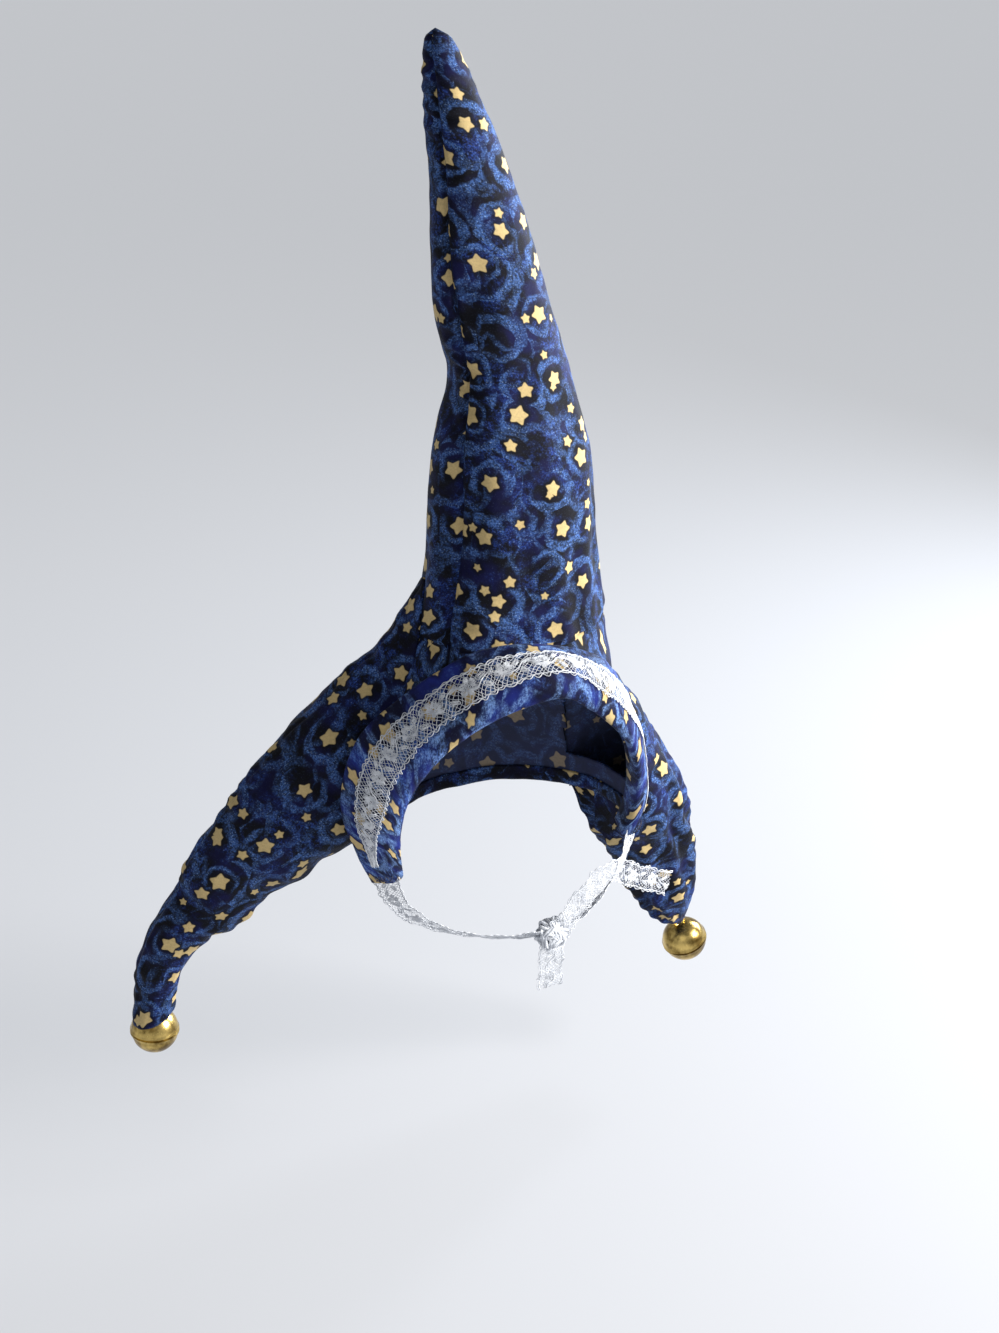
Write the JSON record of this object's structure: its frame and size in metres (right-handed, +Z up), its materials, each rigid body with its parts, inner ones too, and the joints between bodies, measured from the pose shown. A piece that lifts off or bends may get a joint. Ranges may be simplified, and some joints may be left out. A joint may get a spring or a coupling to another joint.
{
  "type": "three-pointed pet hat with bells",
  "caption": "Soft three-pointed pet hat: deep crown open at the face, tall bent peak, drooping side tails with jingle bells, turned-up lace-trimmed brim and lace chin ties.",
  "frame": {"origin": "middle of the head opening, level with the crown's lower edge, where a head holds the hat up", "axes": "+Z up along the peak, -Y toward the face opening, +X to the right of someone who faces the hat"},
  "size_m": [0.2548, 0.0988, 0.4105],
  "materials": {
    "printed_cotton": "woven cotton, dark blue print with pale swirls and gold stars",
    "white_lace": "cotton lace with a floral net",
    "gold_bell": "bright plated metal",
    "pellet_steel": "dull"
  },
  "bodies": {
    "root": {"crown": "printed_cotton", "peak": "printed_cotton", "left_tail": "printed_cotton", "right_tail": "printed_cotton", "brim": "printed_cotton", "brim_lace": "white_lace", "left_tie": "white_lace", "right_tie": "white_lace", "tie_knot": "white_lace", "long_tie_end": "white_lace", "short_tie_end": "white_lace", "left_bell": "gold_bell", "right_bell": "gold_bell", "left_pellet": "pellet_steel", "right_pellet": "pellet_steel"}
  },
  "joints": []
}
